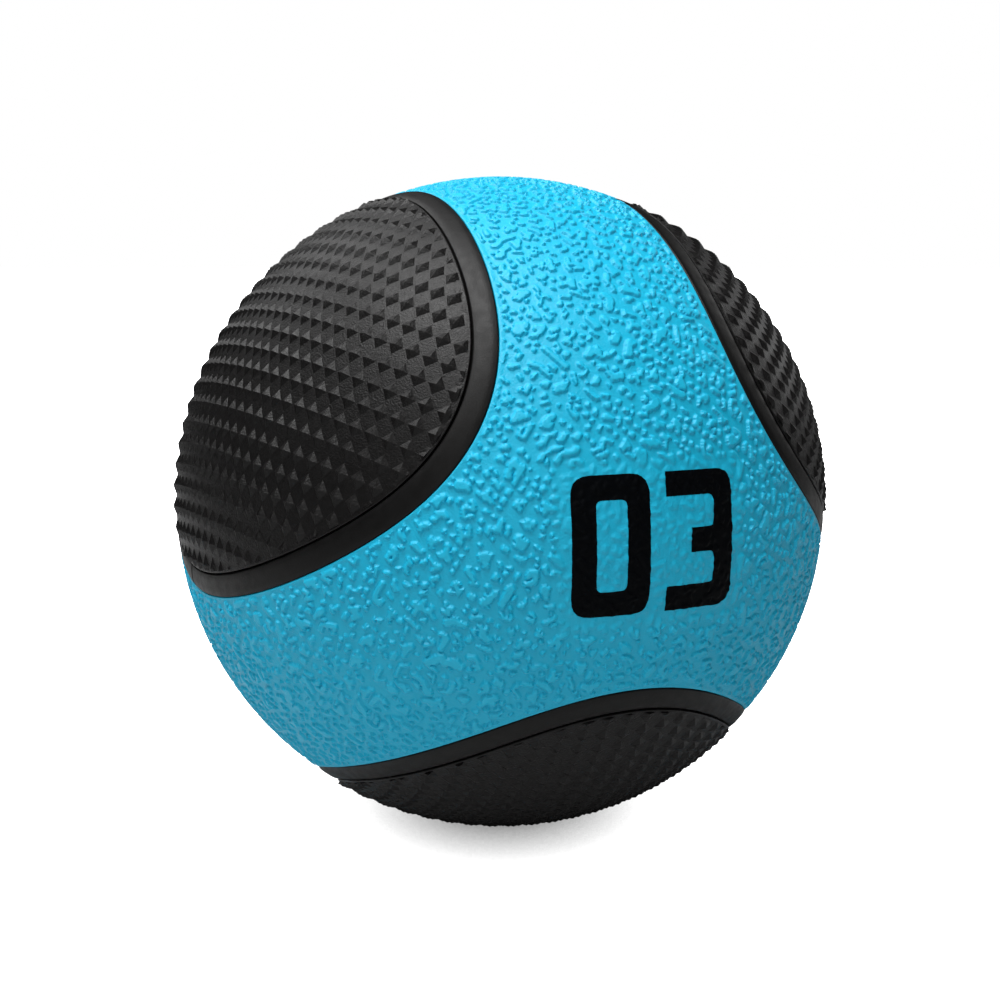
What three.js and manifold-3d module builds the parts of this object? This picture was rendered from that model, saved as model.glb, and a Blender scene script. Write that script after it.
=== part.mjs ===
// A hollow rubber medicine ball, 230 mm across, lying on a floor with its weight mark in front.
//
// Millimetres, +Z up, +X to the right, +Y away from the side that carries the weight mark.
// The origin is the ball's centre.
//
// From the outside in: a blue cover with four three-lobed windows; in each window a smooth
// border and a domed grip pad; a layer of winding; two thick half shells that carry the
// weight; an air bladder; and a self-sealing valve that passes through all of them.
// The pads point to the corners of a tetrahedron.

import * as THREE from 'three';
import * as BufferGeometryUtils from 'three/addons/utils/BufferGeometryUtils.js';
import Module from 'manifold-3d';

const wasm = await Module();
wasm.setup();

// ---------------------------------------------------------------- driving dimensions

const BALL_RADIUS = 115; // crest of the blue cover
const GAP = 0.3; // clearance kept between pieces that touch
const TILT_DEG = [24.3, 10.3, -25.6]; // how the ball has rolled to rest, about X, Y and Z

const COVER_THICKNESS = 4.7;
const WINDING_THICKNESS = 1.2;
const SHELL_THICKNESS = 11.7;
const BLADDER_THICKNESS = 1.6;

const WINDOW_MEAN_DEG = 40.7; // half-width of a window, seen from the ball's centre
const WINDOW_LOBE_DEG = 2.5; // how far the three lobes reach beyond it
const WINDOW_FLAT_DEG = 0.17; // second harmonic, which flattens the three sides
const BORDER_WIDTH_DEG = 4.1;

const PAD_PROUD = 1.3; // top of the grip pattern above the cover
const PAD_EDGE_PROUD = 0.3; // rim of the pad above the cover
const BORDER_CROWN_PROUD = 0.1;
const BORDER_EDGE_DROP = 0.5;

const DIGIT_WIDTH = 24;
const DIGIT_HEIGHT = 41;
const DIGIT_STROKE = 7.3;
const DIGIT_PITCH = 29.5;
const DIGIT_CORNER = 6;
const MARK_OFFSET = [3.3, -8.3]; // right of and below the point between the three bands
const INK_THICKNESS = 0.3;

const VALVE_HEAD_RADIUS = 6;
const VALVE_HEAD_DEPTH = 2.2;
const VALVE_FACE_DROP = 0.1; // flat valve face below the cover's crest
const VALVE_NECK_RADIUS = 5;
const VALVE_STEM_RADIUS = 2.6;
const VALVE_NEEDLE_RADIUS = 0.8;
const VALVE_FLANGE_RADIUS = 12;
const VALVE_FLANGE_THICKNESS = 1.8;

const OUTLINE_STEPS = 36; // points round a window
const COVER_DETAIL = 8; // subdivision of the cover's spheres
const INK_DETAIL = 20; // finer, so that the thin ink clears the cover
const SHELL_STEPS = 24; // sides round the inner shells
const QUARTER_STEPS = 7; // steps from a shell's equator to its valve hole

// ---------------------------------------------------------------- derived dimensions

const COVER_INNER = BALL_RADIUS - COVER_THICKNESS;
const WINDING_OUTER = COVER_INNER - 2 * GAP;
const WINDING_INNER = WINDING_OUTER - WINDING_THICKNESS;
const SHELL_OUTER = WINDING_INNER - GAP;
const SHELL_INNER = SHELL_OUTER - SHELL_THICKNESS;
const BLADDER_OUTER = SHELL_INNER - GAP;
const BLADDER_INNER = BLADDER_OUTER - BLADDER_THICKNESS;
const INSERT_INNER = COVER_INNER + 3 * GAP; // underside of pads and borders

const GAP_DEG = THREE.MathUtils.radToDeg(GAP / BALL_RADIUS);
const NECK_HOLE_RADIUS = VALVE_NECK_RADIUS + GAP;
const HEAD_HOLE_RADIUS = VALVE_HEAD_RADIUS + GAP;

// Directions of the four pads in the ball's own frame.
const PAD_AXES = {
  left: new THREE.Vector3(-1, -1, 1).normalize(),
  right: new THREE.Vector3(1, 1, 1).normalize(),
  base: new THREE.Vector3(1, -1, -1).normalize(),
  rear: new THREE.Vector3(-1, 1, -1).normalize(),
};
const MARK_AXIS = PAD_AXES.rear.clone().negate(); // middle of the three bands in front
const VALVE_AXIS = PAD_AXES.left.clone().negate(); // middle of the three bands behind

// ---------------------------------------------------------------- materials

function rubber(color, roughness) {
  return new THREE.MeshStandardMaterial({ color, roughness, metalness: 0 });
}

const blueRubber = rubber(0x1fa3cf, 0.5);
const gripRubber = rubber(0x2b2a2a, 0.7);
const borderRubber = rubber(0x242323, 0.55);
const printInk = rubber(0x0a0d10, 0.6);
const windingCord = rubber(0xcfc8b4, 0.85);
const shellRubber = rubber(0x1c1c1c, 0.8);
const bladderRubber = rubber(0x33302e, 0.6);
const valveRubber = rubber(0x151515, 0.6);

// ---------------------------------------------------------------- geometry helpers

/** Rotation that puts a piece's +Z on axis and its +X on the side nearest to towards. */
function aim(axis, towards) {
  const x = towards.clone().addScaledVector(axis, -towards.dot(axis)).normalize();
  const y = axis.clone().cross(x);
  const basis = new THREE.Matrix4().makeBasis(x, y, axis);
  return new THREE.Quaternion().setFromRotationMatrix(basis);
}

/** A point at a polar angle from +Z, an azimuth and a radius. */
function polar(polarDeg, azimuth, radius) {
  const angle = THREE.MathUtils.degToRad(polarDeg);
  return [
    radius * Math.sin(angle) * Math.cos(azimuth),
    radius * Math.sin(angle) * Math.sin(azimuth),
    radius * Math.cos(angle),
  ];
}

/** A window's edge, as an angle from its axis; azimuth 0 faces a neighbouring window. */
function windowEdgeDeg(azimuth) {
  const lobes = WINDOW_LOBE_DEG * Math.cos(3 * azimuth);
  const flats = WINDOW_FLAT_DEG * Math.cos(6 * azimuth);
  return WINDOW_MEAN_DEG - lobes + flats;
}

function indexedGeometry(positions, indices) {
  const geometry = new THREE.BufferGeometry();
  geometry.setAttribute('position', new THREE.Float32BufferAttribute(positions, 3));
  geometry.setIndex(indices);
  geometry.computeVertexNormals();
  return geometry;
}

/** Joins rows of points, each with one point per outline step, by bands of triangles. */
function bandIndices(rowA, rowB) {
  const indices = [];
  for (let i = 0; i < OUTLINE_STEPS; i += 1) {
    const next = (i + 1) % OUTLINE_STEPS;
    const a = rowA * OUTLINE_STEPS;
    const b = rowB * OUTLINE_STEPS;
    indices.push(a + i, b + i, a + next);
    indices.push(a + next, b + i, b + next);
  }
  return indices;
}

/** Rows of points round a window; each row gives its angle at an azimuth, and a radius. */
function outlineRows(rows) {
  const positions = [];
  for (const row of rows) {
    for (let i = 0; i < OUTLINE_STEPS; i += 1) {
      const azimuth = (2 * Math.PI * i) / OUTLINE_STEPS;
      positions.push(...polar(row.angle(azimuth), azimuth, row.radius));
    }
  }
  return positions;
}

/** A closed ring round a window, from a section whose last row meets its first. */
function outlineRing(rows) {
  const indices = rows.flatMap((row, i) => bandIndices(i, (i + 1) % rows.length));
  return indexedGeometry(outlineRows(rows), indices);
}

/** A closed disc with the window's outline, from its top centre down to its underside. */
function outlineDisc(rows, topRadius, bottomRadius) {
  const positions = outlineRows(rows);
  const top = positions.length / 3;
  positions.push(0, 0, topRadius, 0, 0, bottomRadius);
  const indices = [];
  const last = (rows.length - 1) * OUTLINE_STEPS;
  for (let i = 0; i < OUTLINE_STEPS; i += 1) {
    const next = (i + 1) % OUTLINE_STEPS;
    indices.push(top, i, next);
    indices.push(top + 1, last + next, last + i);
  }
  for (let i = 0; i + 1 < rows.length; i += 1) {
    indices.push(...bandIndices(i, i + 1));
  }
  return indexedGeometry(positions, indices);
}

function toSolid(geometry, quaternion = new THREE.Quaternion()) {
  const bare = geometry.clone().applyQuaternion(quaternion);
  bare.deleteAttribute('normal');
  bare.deleteAttribute('uv');
  const merged = BufferGeometryUtils.mergeVertices(bare, 1e-4);
  return new wasm.Manifold(new wasm.Mesh({
    numProp: 3,
    vertProperties: Float32Array.from(merged.attributes.position.array),
    triVerts: Uint32Array.from(merged.index.array),
  }));
}

function fromSolid(solid) {
  const mesh = solid.getMesh();
  return indexedGeometry(mesh.vertProperties, [...mesh.triVerts]);
}

function place(name, geometry, material, quaternion = new THREE.Quaternion()) {
  const mesh = new THREE.Mesh(geometry, material);
  mesh.name = name;
  mesh.quaternion.copy(quaternion);
  return mesh;
}

// ---------------------------------------------------------------- cover, borders and pads

function windowCutter() {
  const rows = [BALL_RADIUS * 1.2, COVER_INNER * 0.9].map((radius) => ({
    angle: windowEdgeDeg,
    radius,
  }));
  return outlineDisc(rows, rows[0].radius, rows[1].radius);
}

function coverGeometry() {
  const outside = toSolid(new THREE.IcosahedronGeometry(BALL_RADIUS, COVER_DETAIL));
  const inside = toSolid(new THREE.IcosahedronGeometry(COVER_INNER, COVER_DETAIL));
  let cover = outside.subtract(inside);
  const cutter = windowCutter();
  for (const placement of Object.values(PAD_PLACEMENTS)) {
    cover = cover.subtract(toSolid(cutter, placement));
  }
  const hole = new THREE.CylinderGeometry(
    HEAD_HOLE_RADIUS, HEAD_HOLE_RADIUS, 2 * COVER_THICKNESS, SHELL_STEPS,
  );
  hole.rotateX(Math.PI / 2);
  hole.translate(0, 0, BALL_RADIUS - COVER_THICKNESS / 2);
  return fromSolid(cover.subtract(toSolid(hole, VALVE_PLACEMENT)));
}

function borderGeometry() {
  const outer = GAP_DEG;
  const inner = BORDER_WIDTH_DEG;
  const shoulder = BORDER_WIDTH_DEG * 0.27;
  const crown = BALL_RADIUS + BORDER_CROWN_PROUD;
  const edge = BALL_RADIUS - BORDER_EDGE_DROP;
  const section = [
    [outer, INSERT_INNER],
    [inner, INSERT_INNER],
    [inner, edge],
    [inner - shoulder, crown],
    [outer + shoulder, crown],
    [outer, edge],
  ];
  return outlineRing(section.map(([inset, radius]) => ({
    angle: (azimuth) => windowEdgeDeg(azimuth) - inset,
    radius,
  })));
}

function padGeometry() {
  const crest = BALL_RADIUS + PAD_PROUD;
  const rim = BALL_RADIUS + PAD_EDGE_PROUD;
  const section = [
    [0.25, crest],
    [0.5, crest],
    [0.75, crest],
    [0.96, crest],
    [1, rim],
    [1, INSERT_INNER],
    [2 / 3, INSERT_INNER],
    [1 / 3, INSERT_INNER],
  ];
  const rows = section.map(([share, radius]) => ({
    angle: (azimuth) => share * (windowEdgeDeg(azimuth) - BORDER_WIDTH_DEG - GAP_DEG),
    radius,
  }));
  return outlineDisc(rows, crest, INSERT_INNER);
}

// ---------------------------------------------------------------- weight mark

/** Adds a rounded corner to a path, turning at (x, y) from one direction to the next. */
function corner(path, x, y, from, to, radius) {
  path.lineTo(x - from[0] * radius, y - from[1] * radius);
  path.quadraticCurveTo(x, y, x + to[0] * radius, y + to[1] * radius);
}

function roundedRectangle(path, halfWidth, halfHeight, radius) {
  path.moveTo(0, -halfHeight);
  corner(path, halfWidth, -halfHeight, [1, 0], [0, 1], radius);
  corner(path, halfWidth, halfHeight, [0, 1], [-1, 0], radius);
  corner(path, -halfWidth, halfHeight, [-1, 0], [0, -1], radius);
  corner(path, -halfWidth, -halfHeight, [0, -1], [1, 0], radius);
  path.closePath();
  return path;
}

function zeroShape() {
  const halfWidth = DIGIT_WIDTH / 2;
  const halfHeight = DIGIT_HEIGHT / 2;
  const shape = roundedRectangle(new THREE.Shape(), halfWidth, halfHeight, DIGIT_CORNER);
  const eye = new THREE.Path();
  roundedRectangle(eye, halfWidth - DIGIT_STROKE, halfHeight - DIGIT_STROKE, DIGIT_CORNER / 3);
  shape.holes.push(eye);
  return shape;
}

function threeShape() {
  const right = DIGIT_WIDTH / 2;
  const top = DIGIT_HEIGHT / 2;
  const inside = right - DIGIT_STROKE;
  const bar = DIGIT_STROKE / 2;
  const barLeft = -right * 0.3;
  const small = DIGIT_CORNER / 3;
  const shape = new THREE.Shape();
  shape.moveTo(-right, -top);
  corner(shape, right, -top, [1, 0], [0, 1], DIGIT_CORNER);
  corner(shape, right, top, [0, 1], [-1, 0], DIGIT_CORNER);
  shape.lineTo(-right, top);
  shape.lineTo(-right, top - DIGIT_STROKE);
  corner(shape, inside, top - DIGIT_STROKE, [1, 0], [0, -1], small);
  corner(shape, inside, bar, [0, -1], [-1, 0], small);
  shape.lineTo(barLeft, bar);
  shape.lineTo(barLeft, -bar);
  corner(shape, inside, -bar, [1, 0], [0, -1], small);
  corner(shape, inside, -top + DIGIT_STROKE, [0, -1], [-1, 0], small);
  shape.lineTo(-right, -top + DIGIT_STROKE);
  shape.closePath();
  return shape;
}

/** The thin layer of ink that a flat shape leaves on the ball, its middle at (x, y). */
function inkGeometry(shape, x, y) {
  const prism = new THREE.ExtrudeGeometry(shape, {
    depth: BALL_RADIUS, bevelEnabled: false, curveSegments: 5,
  });
  prism.translate(x, y, BALL_RADIUS / 2);
  const inkInner = BALL_RADIUS + GAP;
  const inkOuter = inkInner + INK_THICKNESS;
  const skin = toSolid(new THREE.IcosahedronGeometry(inkOuter, INK_DETAIL))
    .subtract(toSolid(new THREE.IcosahedronGeometry(inkInner, INK_DETAIL)));
  return fromSolid(skin.intersect(toSolid(prism)));
}

// ---------------------------------------------------------------- inner layers

/** An arc of a lathe profile between two angles from the valve axis, in degrees. */
function profileArc(radius, startDeg, endDeg, steps) {
  return Array.from({ length: steps + 1 }, (unused, i) => {
    const angle = THREE.MathUtils.degToRad(startDeg + ((endDeg - startDeg) * i) / steps);
    return new THREE.Vector2(radius * Math.sin(angle), radius * Math.cos(angle));
  });
}

/** Angle from the valve axis at which a sphere meets the hole round the valve's neck. */
function holeDeg(radius) {
  return THREE.MathUtils.radToDeg(Math.asin(NECK_HOLE_RADIUS / radius));
}

/** Revolves a profile, given from the +Z end down its outside, about +Z. */
function revolve(profile) {
  const geometry = new THREE.LatheGeometry([...profile].reverse(), SHELL_STEPS);
  geometry.rotateX(Math.PI / 2);
  return fromSolid(toSolid(geometry));
}

/** A hollow ball, open only where the valve's neck goes through. */
function hollowBall(outer, inner) {
  const steps = 2 * QUARTER_STEPS;
  const outside = profileArc(outer, holeDeg(outer), 180, steps);
  const inside = profileArc(inner, 180, holeDeg(inner), steps);
  return revolve([...outside, ...inside, outside[0]]);
}

/** The half shell that the valve goes through. */
function valveHalfShell() {
  const seamDeg = 90 - GAP_DEG;
  const outside = profileArc(SHELL_OUTER, holeDeg(SHELL_OUTER), seamDeg, QUARTER_STEPS);
  const inside = profileArc(SHELL_INNER, seamDeg, holeDeg(SHELL_INNER), QUARTER_STEPS);
  return revolve([...outside, ...inside, outside[0]]);
}

/** The closed half shell opposite the valve. */
function farHalfShell() {
  const seamDeg = 90 + GAP_DEG;
  const outside = profileArc(SHELL_OUTER, seamDeg, 180, QUARTER_STEPS);
  const inside = profileArc(SHELL_INNER, 180, seamDeg, QUARTER_STEPS);
  return revolve([...outside, ...inside, outside[0]]);
}

// ---------------------------------------------------------------- valve

function ringProfile(points) {
  const profile = points.map(([radius, height]) => new THREE.Vector2(radius, height));
  return [...profile, profile[0]];
}

/** Rubber boss bonded inside the bladder, with a neck that reaches to the cover. */
function valveHousingGeometry() {
  const bore = VALVE_STEM_RADIUS + GAP;
  const seat = BALL_RADIUS - VALVE_FACE_DROP - VALVE_HEAD_DEPTH - GAP;
  const flangeRim = Math.sqrt(BLADDER_INNER ** 2 - VALVE_FLANGE_RADIUS ** 2);
  const flangeTop = flangeRim - 3 * GAP;
  const flangeFoot = flangeTop - VALVE_FLANGE_THICKNESS;
  return revolve(ringProfile([
    [bore, seat],
    [VALVE_NECK_RADIUS, seat],
    [VALVE_NECK_RADIUS, flangeTop],
    [VALVE_FLANGE_RADIUS, flangeTop],
    [VALVE_FLANGE_RADIUS, flangeFoot],
    [bore, flangeFoot],
  ]));
}

/** Self-sealing plug: a flat head level with the cover and a stem down the housing. */
function valvePlugGeometry() {
  const face = BALL_RADIUS - VALVE_FACE_DROP;
  const underHead = face - VALVE_HEAD_DEPTH;
  const foot = BLADDER_INNER;
  return revolve(ringProfile([
    [VALVE_NEEDLE_RADIUS, face],
    [VALVE_HEAD_RADIUS, face],
    [VALVE_HEAD_RADIUS, underHead],
    [VALVE_STEM_RADIUS, underHead],
    [VALVE_STEM_RADIUS, foot],
    [VALVE_NEEDLE_RADIUS, foot],
  ]));
}

// ---------------------------------------------------------------- assembly

const PAD_PLACEMENTS = {
  left: aim(PAD_AXES.left, PAD_AXES.rear),
  right: aim(PAD_AXES.right, PAD_AXES.rear),
  base: aim(PAD_AXES.base, PAD_AXES.rear),
  rear: aim(PAD_AXES.rear, PAD_AXES.left),
};
const VALVE_PLACEMENT = aim(VALVE_AXIS, PAD_AXES.base);
const MARK_RIGHT = PAD_AXES.base.clone().cross(MARK_AXIS).negate();
const MARK_PLACEMENT = aim(MARK_AXIS, MARK_RIGHT);

const ball = new THREE.Group();
ball.rotation.set(...TILT_DEG.map((angle) => THREE.MathUtils.degToRad(angle)), 'XYZ');

ball.add(place('outer_cover', coverGeometry(), blueRubber));
for (const [side, placement] of Object.entries(PAD_PLACEMENTS)) {
  ball.add(place(`grip_border_${side}`, borderGeometry(), borderRubber, placement));
  ball.add(place(`grip_pad_${side}`, padGeometry(), gripRubber, placement));
}

const [markX, markY] = MARK_OFFSET;
const zero = inkGeometry(zeroShape(), markX - DIGIT_PITCH / 2, markY);
const three = inkGeometry(threeShape(), markX + DIGIT_PITCH / 2, markY);
ball.add(place('weight_digit_zero', zero, printInk, MARK_PLACEMENT));
ball.add(place('weight_digit_three', three, printInk, MARK_PLACEMENT));

const winding = hollowBall(WINDING_OUTER, WINDING_INNER);
const bladder = hollowBall(BLADDER_OUTER, BLADDER_INNER);
ball.add(place('carcass_winding', winding, windingCord, VALVE_PLACEMENT));
ball.add(place('weight_shell_valve_half', valveHalfShell(), shellRubber, VALVE_PLACEMENT));
ball.add(place('weight_shell_far_half', farHalfShell(), shellRubber, VALVE_PLACEMENT));
ball.add(place('air_bladder', bladder, bladderRubber, VALVE_PLACEMENT));
ball.add(place('valve_housing', valveHousingGeometry(), valveRubber, VALVE_PLACEMENT));
ball.add(place('valve_plug', valvePlugGeometry(), valveRubber, VALVE_PLACEMENT));

export default ball;
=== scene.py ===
"""Looks of a hollow rubber medicine ball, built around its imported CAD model.

The raised islands of the blue cover and the knurling of the black grip pads are geometry, made
from formulas on fine meshes. Every place and outline is worked out from the CAD nodes. Lengths
are in millimetres, which make_piece and the materials turn into metres, and the studio's are in
metres.
"""

import math

import bpy
import numpy as np
from mathutils.bvhtree import BVHTree
from mathutils.kdtree import KDTree
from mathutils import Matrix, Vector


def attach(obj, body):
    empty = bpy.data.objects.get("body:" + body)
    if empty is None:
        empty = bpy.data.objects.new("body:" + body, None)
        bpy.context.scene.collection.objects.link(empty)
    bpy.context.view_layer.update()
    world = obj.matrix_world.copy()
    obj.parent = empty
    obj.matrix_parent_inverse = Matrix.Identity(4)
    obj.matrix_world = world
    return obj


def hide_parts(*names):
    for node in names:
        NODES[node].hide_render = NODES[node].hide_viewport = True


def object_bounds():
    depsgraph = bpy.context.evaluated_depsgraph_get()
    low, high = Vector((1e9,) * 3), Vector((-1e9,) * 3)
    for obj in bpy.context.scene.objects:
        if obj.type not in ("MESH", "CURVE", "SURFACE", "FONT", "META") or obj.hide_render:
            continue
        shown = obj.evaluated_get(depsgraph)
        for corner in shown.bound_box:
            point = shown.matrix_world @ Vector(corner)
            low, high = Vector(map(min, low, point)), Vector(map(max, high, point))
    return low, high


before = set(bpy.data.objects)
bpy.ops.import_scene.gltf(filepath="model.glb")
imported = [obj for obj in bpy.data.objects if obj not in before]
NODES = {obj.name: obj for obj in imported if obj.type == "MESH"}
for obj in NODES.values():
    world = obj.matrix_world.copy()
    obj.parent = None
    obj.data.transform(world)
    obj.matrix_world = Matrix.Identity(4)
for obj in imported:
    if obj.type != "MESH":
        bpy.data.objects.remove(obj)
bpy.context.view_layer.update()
MM = 0.001
SIDES = ("left", "right", "base", "rear")

# ---------------------------------------------------------------- sizes, in millimetres

# Heights are above the cover's crest in the CAD model, and depths are below it.
PIECE_DEPTH = 3.6  # how far the visible pieces reach into the ball
EDGE_BAND = 0.62  # mesh steps from an edge within which points are pulled onto it
ROUNDING = 0.01  # points this close to a surface of a CAD node lie on it
TINY = 1e-9  # keeps a direction from being zero long

ISLAND_HEIGHT = 0.7  # from the ground between the islands to their tops
ISLAND_TOP = 0.05
ISLAND_SLOPE = 0.28  # half-width of an island's rounded side
ISLAND_PITCH = 2.95  # spacing of the seeds that the islands grow from
ISLAND_JITTER = 0.13  # how far the seeds are nudged, in pitches
ISLAND_LENGTHS = (0.52, 0.22, 0.16, 0.06, 0.04)  # shares of islands with one, two, ... seeds
ISLAND_REACH = 1.45  # the longest way from an island's seed to its next, in pitches
ISLAND_RADII = (0.65, 0.98)
ISLAND_SHRINK = (0.5, 0.88)  # an island's reach from its middle, as a share of its seeds' reach
ISLAND_SEED = 7  # of the random numbers
SEED_AREA = 0.866  # ground to a seed, in squared pitches, as in a lattice of triangles
SEEDS_TRIED = 8  # nearest seeds that are looked at for an island's next one
SAMPLES_TRIED = 4  # nearest samples of the islands' middle lines that are looked at
WORM_SAMPLES = 8  # along each leg of a long island
WORM_ROUNDING = 3  # samples to either side that round a corner
BLOB_SAMPLES = 5  # along each spoke of an island with three seeds
BLOB_WIDENING = 1.3  # how much thicker such an island is
WOBBLE = 0.24  # typical shift of the islands' outlines along each axis
WOBBLE_WAVES = 24
WOBBLE_LENGTHS = (2.5, 6.0)
GEODESIC_CUTS = 256  # mesh steps along an edge of the cover's icosahedron
SNAP_REACH = 0.55  # mesh steps from an island's edge within which points are drawn to its side
SNAP_PLACE = 0.65  # where they go on the side, from its middle at 0 to its top or foot at 1
SNAP_SOFTNESS = 0.5  # and how soft the islands may be there
STEEP_RELIEF = 0.5  # faces that climb more than this share of an island are shaded flat

MARK_FADE = 7  # from the weight mark, where the islands are softer, to their full shape
MARK_LOWERING = 0.5  # share of their height that the islands lack under the mark
MARK_WIDENING = 1.2  # how much wider their sides are there, as a share of the slope

LIP_WIDTH = 1.7  # the cover's plain, slightly raised edge along an opening
LIP_RISE = 0.32  # above the ground between the islands
LIP_ROUND = ((0.16, 0.05), (0.30, 0.20), (0.36, 0.45), (0.36, 0.9))  # places in and down
LIP_CLEAR = 0.5  # from a window's edge to where the islands start
LIP_FADE = 0.9  # from there to their full height
VALVE_CLEAR = 3.5  # from the valve's hole to where the islands start
VALVE_GAP = 0.55  # between the valve's head and the cover

CELL_WIDTH = 5.05  # knurl cell, towards the neighbouring pad
CELL_HEIGHT = 6.66
CELL_FILL = 0.88  # how much of a cell its pyramid fills
CELL_CUTS = 4  # mesh steps in half a cell
KNURL_HEIGHT = 1.15  # from the flats to a pyramid's point
KNURL_BLUNT = 0.94  # share of that height at which the pyramids' points are cut off
KNURL_FLOOR = 0.1  # flats between the pyramids
KNURL_MARGIN = 0.8  # flat rim round the knurl
PAD_ROUND = ((0.3, 0), (0.08, 0.1), (0, 0.35))  # places in from the pad's edge and down
RIM_START = 0.8  # share of a pad's reach past which its underside only has points on its edge

BORDER_GROOVE = 0.5  # on either side of a border
BORDER_CROWN = 0.08
CROWN_POWER = 4  # more is a flatter crown
CROWN_STEPS = 12
BORDER_SHOULDER = -0.15
BORDER_ROUND = 0.5
ROUND_STEPS = 5
BORDER_STEPS = 540
BORDER_FLANGE = 0.45  # width of the low flange that closes the groove beside the pad
FLANGE_DEPTH = 1.1
SEAM_AZIMUTH = math.radians(73.5)
SEAM_DEPTH = 0.45  # below the border's own surface
SEAM_WIDTH = 0.38
SEAM_REACH = 4  # how far its mesh goes to either side, in seam widths
SEAM_STEPS = 16

INK_DROP = 10  # height that its points are dropped from, clear of the cover
INK_LIFT = 0.06  # height above the cover that they stop at
INK_STEP = 0.4  # longest edge of its mesh
INK_FACING = 0.7  # least cosine from a radius of the ball that is on a digit's outer side

VALVE_FUNNEL = ((0, 1.2), (0.5, 0.4), (0.9, 0.1), (1.2, 0.02))  # places out and down
VALVE_RING = ((2.0, 0), (2.3, 0.08), (2.5, 0.3), (2.9, 0.3), (3.1, 0.08), (3.4, 0))
VALVE_RIM = ((0.45, 0), (0.2, 0.06), (0.06, 0.2), (0, 0.45))  # places in and down
VALVE_STEPS = 96

# ---------------------------------------------------------------- reading the CAD frame


def node_points(name):
    mesh = NODES[name].data
    points = np.empty(len(mesh.vertices) * 3)
    mesh.vertices.foreach_get("co", points)
    return points.reshape(-1, 3) / MM


def unit(vectors):
    return vectors / np.linalg.norm(vectors, axis=-1, keepdims=True)


def aim(axis, towards):
    """Rows are the X, Y and Z of a frame whose Z is axis and whose X leans towards a point."""
    x = unit(towards - axis * (towards @ axis))
    return np.array([x, np.cross(axis, x), axis])


def polar_angles(points, basis):
    """Angle from the basis's Z, and azimuth about it, of each point."""
    local = unit(points) @ basis.T
    angle = np.arctan2(np.hypot(local[:, 0], local[:, 1]), local[:, 2])
    return angle, np.arctan2(local[:, 1], local[:, 0])


def from_polar(angle, azimuth, basis):
    """Unit vectors, the reverse of polar_angles."""
    angle, azimuth = np.broadcast_arrays(angle, azimuth)
    local = [np.sin(angle) * np.cos(azimuth), np.sin(angle) * np.sin(azimuth), np.cos(angle)]
    return np.stack(local, axis=-1) @ basis


RADIUS = np.linalg.norm(node_points("outer_cover"), axis=1).max()
AXES = {side: unit(node_points(f"grip_pad_{side}").mean(axis=0)) for side in SIDES}
PADS = {side: aim(AXES[side], AXES["left" if side == "rear" else "rear"]) for side in SIDES}
VALVE = aim(unit(node_points("valve_plug").mean(axis=0)), AXES["base"])


def measure_pad():
    """Mean, lobe and flat terms of a pad's edge, as angles from its axis."""
    points = node_points("grip_pad_left")
    angle, azimuth = polar_angles(points, PADS["left"])
    radius = np.linalg.norm(points, axis=1)
    rim = (radius < radius.min() + ROUNDING) & (angle > RIM_START * angle.max())
    terms = [np.ones(rim.sum()), -np.cos(3 * azimuth[rim]), np.cos(6 * azimuth[rim])]
    return np.linalg.lstsq(np.stack(terms, axis=-1), angle[rim], rcond=None)[0]


PAD_EDGE, LOBE, FLAT = measure_pad()


def measure_window():
    """Mean angle of a window's edge in the cover, from its border and the pad's clearance."""
    angle, _ = polar_angles(node_points("grip_border_left"), PADS["left"])
    border_outer = angle.max() - LOBE - FLAT
    border_inner = angle.min() + LOBE - FLAT
    return border_outer + border_inner - PAD_EDGE


WINDOW_EDGE = measure_window()


def outline(mean, azimuth):
    return mean - LOBE * np.cos(3 * azimuth) + FLAT * np.cos(6 * azimuth)


def measure_valve():
    """Distance from the valve's axis, and height along it, of each point of the plug."""
    local = node_points("valve_plug") @ VALVE.T
    return np.hypot(local[:, 0], local[:, 1]), local[:, 2]


VALVE_HOLE = measure_valve()[0].max() + VALVE_GAP


# ---------------------------------------------------------------- mesh helpers


def smoothstep(low, high, value):
    t = np.clip((value - low) / (high - low), 0, 1)
    return t * t * (3 - 2 * t)


def make_piece(name, points, faces, material, smooth=True):
    """A mesh object from points in millimetres; smooth is one value or one for each face."""
    faces = np.asarray(faces, dtype=np.int32)
    mesh = bpy.data.meshes.new(name)
    mesh.vertices.add(len(points))
    mesh.vertices.foreach_set("co", (np.asarray(points) * MM).ravel())
    mesh.loops.add(faces.size)
    mesh.loops.foreach_set("vertex_index", faces.ravel())
    mesh.polygons.add(len(faces))
    mesh.polygons.foreach_set("loop_start", np.arange(0, faces.size, faces.shape[1]))
    mesh.polygons.foreach_set("use_smooth", np.array(np.broadcast_to(smooth, len(faces))))
    mesh.update(calc_edges=True)
    mesh.materials.append(material)
    piece = bpy.data.objects.new(name, mesh)
    bpy.context.scene.collection.objects.link(piece)
    return piece


def store(piece, name, values):
    """Keeps a number per point for the material to read."""
    attribute = piece.data.attributes.new(name, "FLOAT", "POINT")
    attribute.data.foreach_set("value", np.asarray(values, dtype=np.float32))


def stand_for(piece, node):
    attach(piece, "root")
    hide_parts(node)


def merge(points, faces, decimals):
    """One point for all that round to the same place, and the faces numbered to match."""
    rounded = np.round(points, decimals)
    _, first, same = np.unique(rounded, axis=0, return_index=True, return_inverse=True)
    return points[first], same.ravel()[faces]


def drop_unused(points, faces, *others):
    """The points that faces use, the faces numbered to match, and other arrays cut to match."""
    used, faces = np.unique(faces, return_inverse=True)
    return points[used], faces.reshape(-1, 3), *[other[used] for other in others]


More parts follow.
